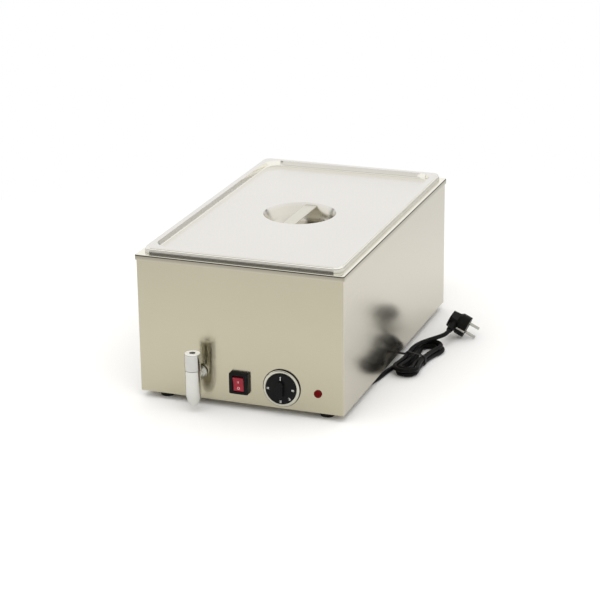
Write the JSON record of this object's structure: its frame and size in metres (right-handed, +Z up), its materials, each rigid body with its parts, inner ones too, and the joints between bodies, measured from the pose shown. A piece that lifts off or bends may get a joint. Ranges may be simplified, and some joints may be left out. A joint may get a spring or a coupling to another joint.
{
  "type": "electric bain-marie",
  "caption": "Countertop electric bain-marie: steel box with a heated water tank, lift-out food pan and lid, front drain tap, rocker switch, thermostat knob, pilot lamp and tied mains cord.",
  "frame": {"origin": "on the floor plane under the middle of the object's overall box, without the cord and its plug", "axes": "+Z up; the front panel with the tap faces -Y; +X is to the right as seen from the front"},
  "size_m": [0.4416, 0.5846, 0.247],
  "materials": {
    "casing_steel": "satin brushed stainless steel",
    "tank_steel": "drawn stainless steel",
    "pan_steel": "drawn stainless steel",
    "lid_steel": "fine satin stainless steel",
    "hardware": "plain zinc-plated steel",
    "element_sheath": "oxidised element sheath",
    "chrome": "bright chrome plate",
    "contact_metal": "nickel plate",
    "brass": "machined brass",
    "copper": "drawn copper bulb and capillary",
    "black_plastic": "moulded black plastic",
    "red_rocker": "red translucent plastic",
    "red_lens": "dark red translucent plastic",
    "light_plastic": "pale moulded plastic",
    "dark_moulding": "dark thermoset moulding",
    "cord_rubber": "black rubber sheath",
    "tie_plastic": "black plastic-covered wire tie",
    "foot_rubber": "black rubber",
    "hose_silicone": "pale silicone hose"
  },
  "bodies": {
    "cabinet": {"casing": "casing_steel", "base_plate": "casing_steel", "tank": "tank_steel", "base_screws": "hardware", "foot_screws": "hardware", "foot_nuts": "hardware", "tank_studs": "hardware", "stud_nuts": "hardware", "element_clamps": "hardware", "bulb_clip": "hardware", "terminal_screws": "hardware", "earth_screw": "hardware", "hose_clamps": "hardware", "thermostat_screws": "hardware", "switch_pin": "hardware", "lamp_nut": "hardware", "heating_element": "element_sheath", "dial_ring": "chrome", "tap_body": "chrome", "tap_bonnet": "chrome", "plug_pins": "contact_metal", "plug_earth_clips": "contact_metal", "switch_terminals": "contact_metal", "thermostat_terminals": "contact_metal", "element_terminals": "contact_metal", "drain_elbow": "brass", "tap_locknut": "brass", "thermostat_bulb": "copper", "switch_housing": "black_plastic", "plug_body": "black_plastic", "lamp_lens": "red_lens", "lamp_holder": "light_plastic", "terminal_block": "light_plastic", "cord_clamp": "light_plastic", "thermostat_body": "dark_moulding", "thermal_cutout": "dark_moulding", "cord_lead": "cord_rubber", "cord_hank": "cord_rubber", "cord_tail": "cord_rubber", "cord_inner": "cord_rubber", "cord_boot": "cord_rubber", "cord_tie": "tie_plastic", "foot_front_left": "foot_rubber", "foot_front_right": "foot_rubber", "foot_rear_left": "foot_rubber", "foot_rear_right": "foot_rubber", "tap_washer": "foot_rubber", "drain_hose": "hose_silicone"},
    "pan": {"pan": "pan_steel"},
    "lid": {"lid": "lid_steel", "lid_handle": "lid_steel"},
    "tap_cap": {"tap_handle": "chrome", "tap_handle_screw": "hardware", "tap_plug": "brass", "tap_o_ring": "foot_rubber"},
    "rocker": {"switch_rocker": "red_rocker"},
    "dial": {"knob": "black_plastic", "thermostat_spindle": "brass"}
  },
  "joints": [
    {"name": "pan_lift", "type": "slide", "parent": "cabinet", "child": "pan", "axis": [0, 0, 1], "range_m": [0, 0.2]},
    {"name": "lid_lift", "type": "slide", "parent": "pan", "child": "lid", "axis": [0, 0, 1], "range_m": [0, 0.12]},
    {"name": "tap_turn", "type": "hinge", "parent": "cabinet", "child": "tap_cap", "pos_m": [-0.066, -0.27985, 0.056], "axis": [0, 0, -1], "range_deg": [0, 90]},
    {"name": "rocker_tilt", "type": "hinge", "parent": "cabinet", "child": "rocker", "pos_m": [-0.0005, -0.25085, 0.046], "axis": [1, 0, 0], "range_deg": [-16, 0]},
    {"name": "knob_turn", "type": "hinge", "parent": "cabinet", "child": "dial", "pos_m": [0.0688, -0.24985, 0.046], "axis": [0, 1, 0], "range_deg": [0, 270]}
  ]
}
